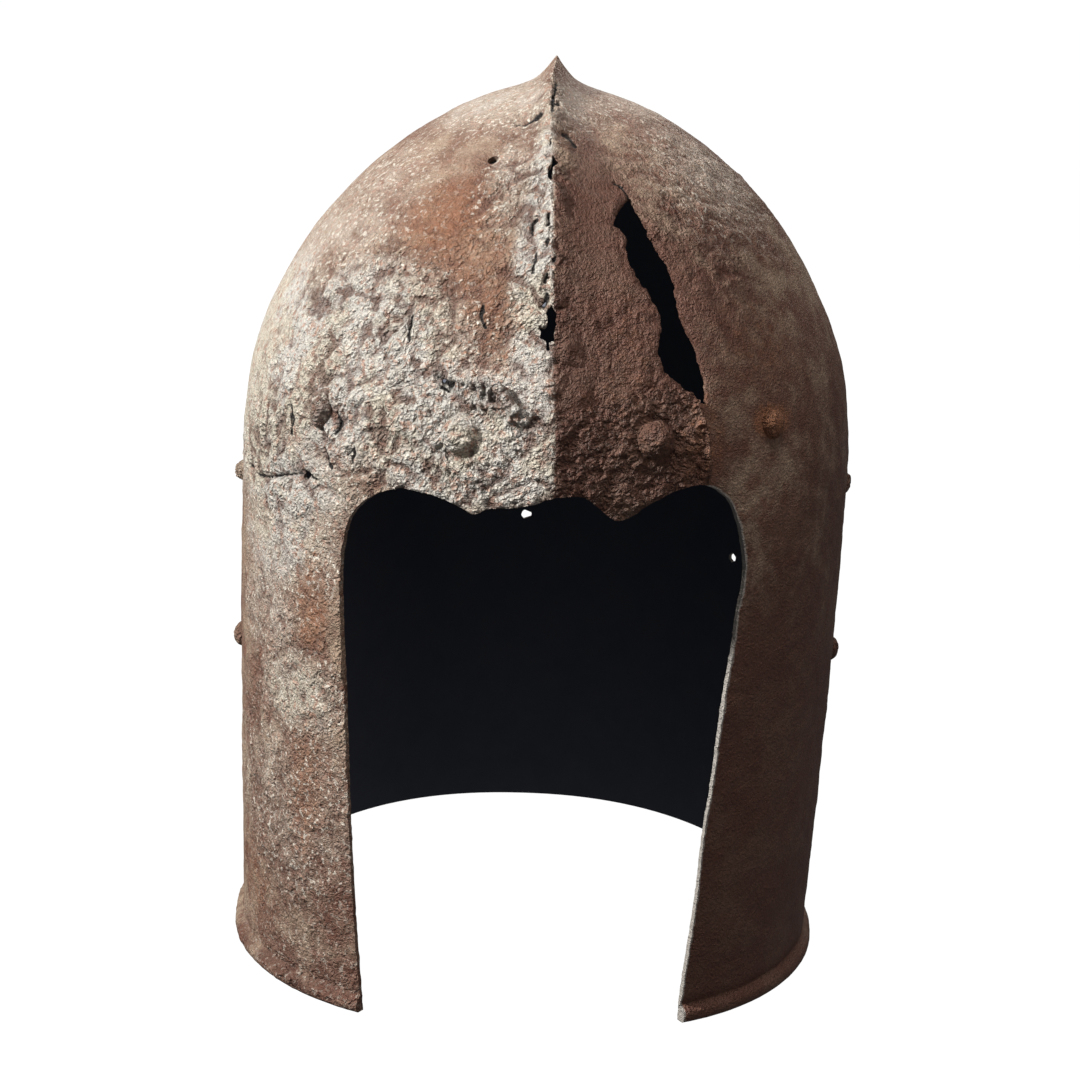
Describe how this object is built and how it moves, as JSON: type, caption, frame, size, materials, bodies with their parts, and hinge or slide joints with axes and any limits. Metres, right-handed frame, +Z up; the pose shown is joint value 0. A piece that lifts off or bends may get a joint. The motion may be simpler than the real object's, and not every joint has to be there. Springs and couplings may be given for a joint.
{
  "type": "barbute helmet",
  "caption": "Open-faced medieval iron helmet with a keeled crown, riveted brow plate and turned rim, rusted and holed.",
  "frame": {"origin": "centre of the helmet's box, on the plane of its rim", "axes": "+Z up through the crown, -Y the way the face looks, +X towards the wearer's left"},
  "size_m": [0.2104, 0.2684, 0.3022],
  "materials": {
    "rusted_iron": "pitted, waxed rust",
    "scaled_iron": "flaking rust scale",
    "rivet_iron": "orange-brown rust"
  },
  "bodies": {
    "root": {"skull": "rusted_iron", "brow_plate": "scaled_iron", "brow_rivet_left": "rivet_iron", "brow_rivet_right": "rivet_iron", "temple_rivet_left": "rivet_iron", "temple_rivet_right": "rivet_iron", "side_rivet_left": "rivet_iron", "side_rivet_right": "rivet_iron", "strap_rivet_left": "rivet_iron", "strap_rivet_right": "rivet_iron"}
  },
  "joints": []
}
